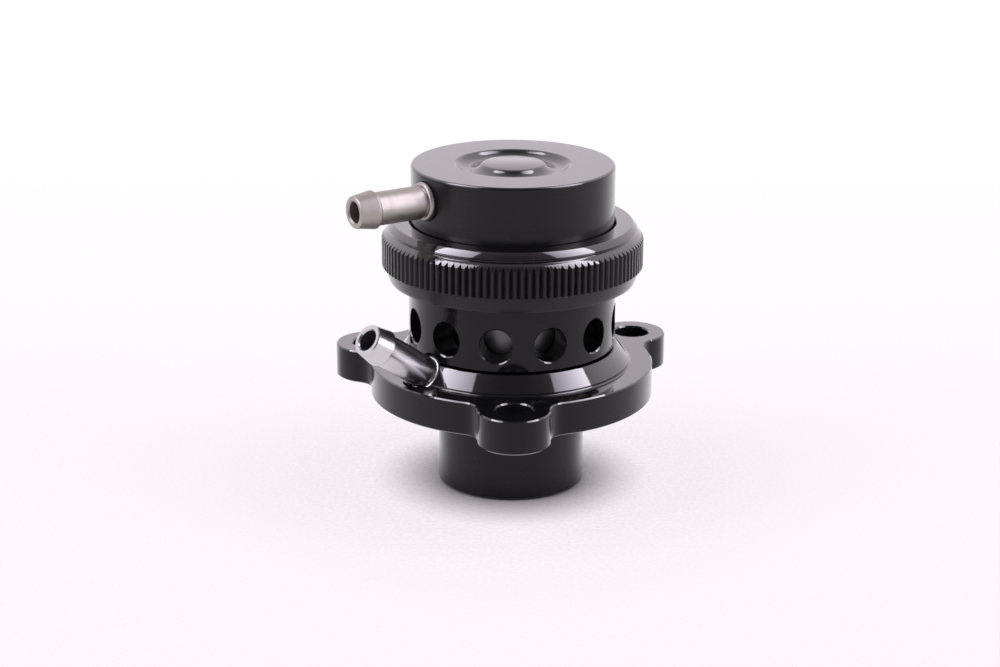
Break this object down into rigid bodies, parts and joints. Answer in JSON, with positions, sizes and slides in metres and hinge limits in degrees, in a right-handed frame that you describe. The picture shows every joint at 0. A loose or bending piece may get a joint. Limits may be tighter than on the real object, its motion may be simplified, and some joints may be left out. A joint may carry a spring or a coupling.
{
  "type": "blow off valve",
  "caption": "Sprung-piston blow off valve: lugged flange and spigot, perforated body, knurled clamp ring, swivelling cap and hose nipples.",
  "frame": {"origin": "middle of the plan's bounding box, on the plane of the spigot's end face", "axes": "+Z along the valve's axis from the spigot to the cap, front lug towards -Y; the valve's axis stands at x 1.65 mm, y 4.25 mm"},
  "size_m": [0.0622, 0.0603, 0.0599],
  "materials": {
    "black_anodised": "black anodised, satin with polished bevels",
    "grey_anodised": "hard anodised grey",
    "satin_steel": "satin turned",
    "bright_steel": "polished",
    "spring_steel": "drawn wire",
    "black_rubber": "matte",
    "white_nylon": "matte"
  },
  "bodies": {
    "base": {"base_flange": "black_anodised", "flange_o_ring": "black_rubber", "vent_body": "black_anodised", "body_o_ring": "black_rubber", "base_nipple": "bright_steel", "base_nipple_seal": "black_rubber", "cap_o_ring": "black_rubber", "return_spring": "spring_steel"},
    "piston": {"piston": "grey_anodised", "piston_o_ring_lower": "black_rubber", "piston_o_ring_upper": "black_rubber", "nose_seal": "black_rubber", "nose_retainer": "grey_anodised", "nose_screw": "bright_steel"},
    "cap": {"top_cap": "black_anodised", "cap_nipple": "satin_steel", "cap_nipple_seal": "black_rubber", "spring_seat": "white_nylon", "preload_shim": "bright_steel"},
    "ring": {"clamp_ring": "black_anodised", "slip_washer": "white_nylon"}
  },
  "joints": [
    {"name": "piston_stroke", "type": "slide", "parent": "base", "child": "piston", "axis": [0, 0, 1], "range_m": [0, 0.006], "stiffness_N_per_m": 1800, "springref_m": -0.008, "deforming": ["return_spring"]},
    {"name": "cap_swivel", "type": "hinge", "parent": "base", "child": "cap", "pos_m": [0.00165, 0.00425, 0.0451], "axis": [0, 0, 1], "continuous": true},
    {"name": "ring_unscrew", "type": "hinge", "parent": "base", "child": "ring", "pos_m": [0.00165, 0.00425, 0.0387], "axis": [0, 0, 1], "range_deg": [0, 120]}
  ]
}
